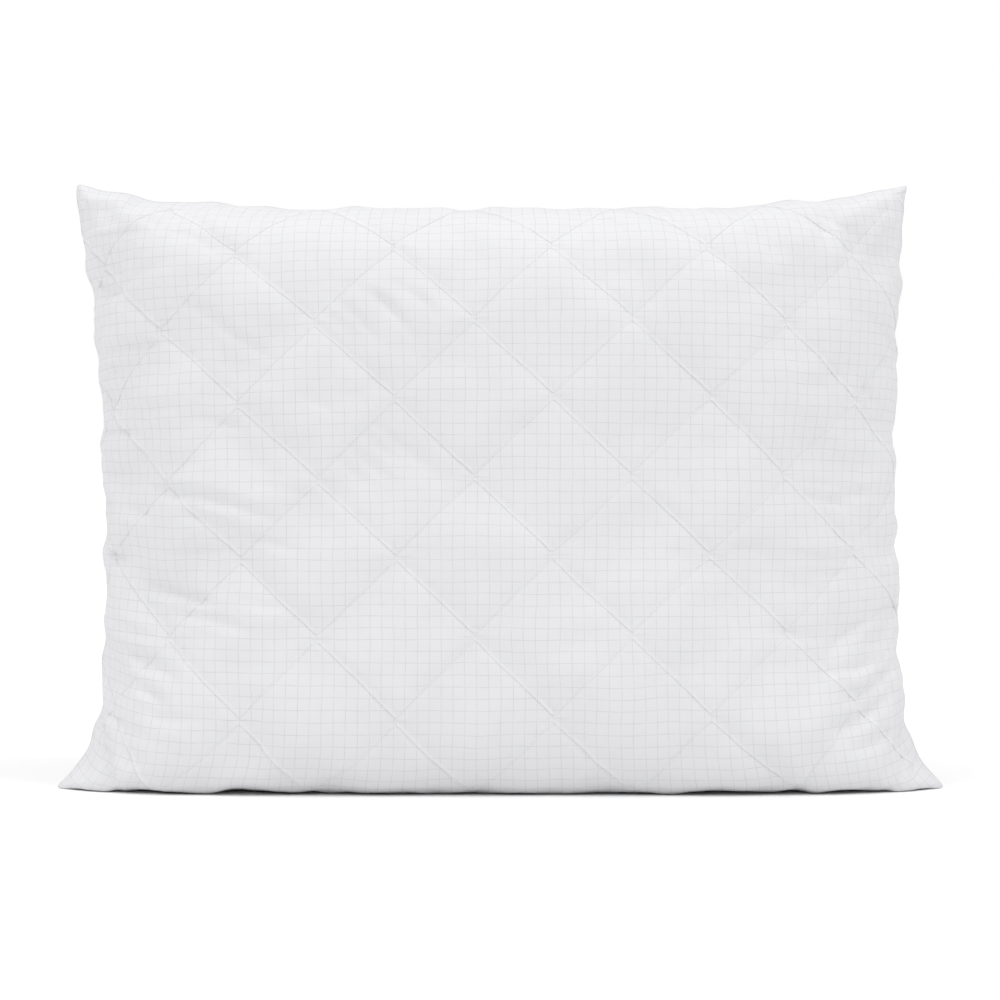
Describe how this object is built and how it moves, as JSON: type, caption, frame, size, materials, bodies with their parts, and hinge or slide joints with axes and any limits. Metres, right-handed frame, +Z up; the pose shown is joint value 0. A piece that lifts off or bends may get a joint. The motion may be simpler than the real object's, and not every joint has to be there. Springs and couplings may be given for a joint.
{
  "type": "quilted bed pillow",
  "caption": "Rectangular bed pillow with diamond-quilted panels, a fine woven check and a loose fibre filling, standing on one long edge.",
  "frame": {"origin": "middle of the bounding box on the floor, under the long edge that the pillow stands on", "axes": "+X along the width, -Y out of the front panel, +Z up"},
  "size_m": [0.68, 0.1588, 0.46],
  "materials": {
    "outer_fabric": "white woven cotton-blend ticking with a fine light grey conductive check, soft matt",
    "wadding": "white polyester wadding, fluffy",
    "lining": "thin white non-woven backing, matt",
    "fibre_fill": "loose white hollow polyester fibre",
    "thread": "white polyester sewing thread, slight sheen"
  },
  "bodies": {
    "root": {"front_outer_fabric": "outer_fabric", "front_wadding": "wadding", "front_lining": "lining", "front_needle_thread_1": "thread", "front_needle_thread_2": "thread", "front_needle_thread_3": "thread", "front_needle_thread_4": "thread", "front_needle_thread_5": "thread", "front_needle_thread_6": "thread", "front_needle_thread_7": "thread", "front_needle_thread_8": "thread", "front_looper_thread_1": "thread", "front_looper_thread_2": "thread", "front_looper_thread_3": "thread", "front_looper_thread_4": "thread", "front_looper_thread_5": "thread", "front_looper_thread_6": "thread", "front_looper_thread_7": "thread", "front_looper_thread_8": "thread", "back_outer_fabric": "outer_fabric", "back_wadding": "wadding", "back_lining": "lining", "back_needle_thread_1": "thread", "back_needle_thread_2": "thread", "back_needle_thread_3": "thread", "back_needle_thread_4": "thread", "back_needle_thread_5": "thread", "back_needle_thread_6": "thread", "back_needle_thread_7": "thread", "back_needle_thread_8": "thread", "back_looper_thread_1": "thread", "back_looper_thread_2": "thread", "back_looper_thread_3": "thread", "back_looper_thread_4": "thread", "back_looper_thread_5": "thread", "back_looper_thread_6": "thread", "back_looper_thread_7": "thread", "back_looper_thread_8": "thread", "fibre_fill": "fibre_fill", "perimeter_seam_thread": "thread", "closing_seam_thread": "thread"}
  },
  "joints": []
}
